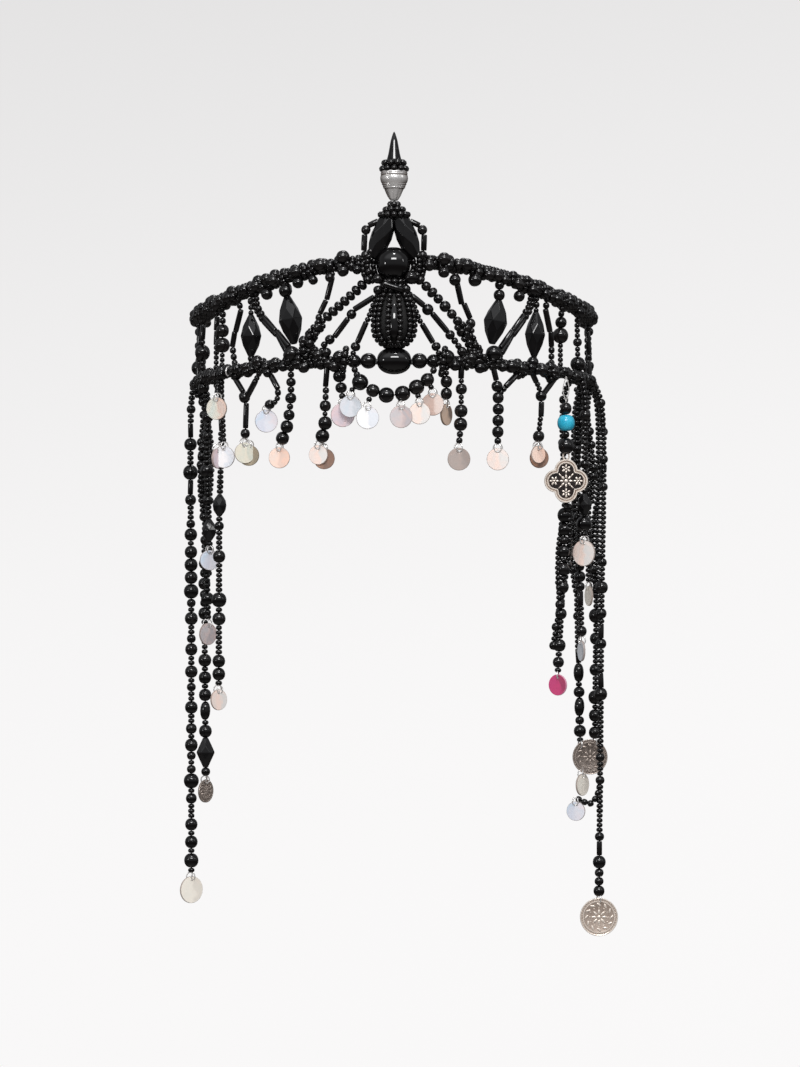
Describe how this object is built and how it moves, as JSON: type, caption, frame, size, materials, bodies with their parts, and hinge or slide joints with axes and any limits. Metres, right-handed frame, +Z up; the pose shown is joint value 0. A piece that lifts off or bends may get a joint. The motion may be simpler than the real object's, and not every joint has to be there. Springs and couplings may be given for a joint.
{
  "type": "beaded headdress",
  "caption": "Black beaded headdress: twin bead ropes round the brow, a beaded body with legs and a spire, shell disc drops and long temple strands with coins.",
  "frame": {"origin": "middle of the head opening, at the height of the lower rope's mean level, where the band sits on the head", "axes": "+Z up along the spire, the front ornament towards -Y, +X to the right seen from the front"},
  "size_m": [0.1927, 0.2131, 0.3436],
  "materials": {
    "jet": "polished black glass beads",
    "cut_jet": "faceted black glass, satin polish",
    "silver": "polished silver-coloured metal with brownish tone",
    "coin_metal": "cast relief, darkened in the hollows",
    "shell": "mother-of-pearl",
    "pink_shell": "dyed mother-of-pearl",
    "turquoise": "polished turquoise"
  },
  "bodies": {
    "root": {"back_strand": "jet", "body_bead": "jet", "body_cage": "jet", "brow_swag": "jet", "centre_oval_bead": "jet", "charm_drop": "jet", "connector_coin": "coin_metal", "crest_bead_left": "cut_jet", "crest_bead_right": "cut_jet", "crest_cluster": "jet", "crest_frame_left": "jet", "crest_frame_right": "jet", "drop_left_1": "jet", "drop_left_2": "jet", "drop_left_3": "jet", "drop_left_4": "jet", "drop_left_5": "jet", "drop_left_6": "jet", "drop_left_7": "jet", "drop_right_1": "jet", "drop_right_2": "jet", "drop_right_3": "jet", "drop_right_4": "jet", "faceted_bead_left_inner": "cut_jet", "faceted_bead_left_outer": "cut_jet", "faceted_bead_right_inner": "cut_jet", "faceted_bead_right_outer": "cut_jet", "head_bead": "jet", "head_cluster_left": "jet", "head_cluster_right": "jet", "large_coin": "coin_metal", "leg_left_1": "jet", "leg_left_2": "jet", "leg_left_3": "jet", "leg_right_1": "jet", "leg_right_2": "jet", "leg_right_3": "jet", "lower_rope_left": "jet", "lower_rope_right": "jet", "neck_bugle": "jet", "pink_disc": "pink_shell", "quatrefoil_charm": "coin_metal", "silver_cup": "silver", "spike": "jet", "spike_collar": "jet", "strand_left_back": "jet", "strand_left_front": "jet", "strand_left_inner": "jet", "strand_left_outer": "jet", "strand_left_rear": "jet", "strand_right_brow": "jet", "strand_right_front": "jet", "strand_right_link_back": "jet", "strand_right_link_front": "jet", "strand_right_middle": "jet", "strand_right_outer": "jet", "strand_right_thin": "jet", "turquoise_bead": "turquoise", "upper_rope_left": "jet", "upper_rope_right": "jet"}
  },
  "joints": []
}
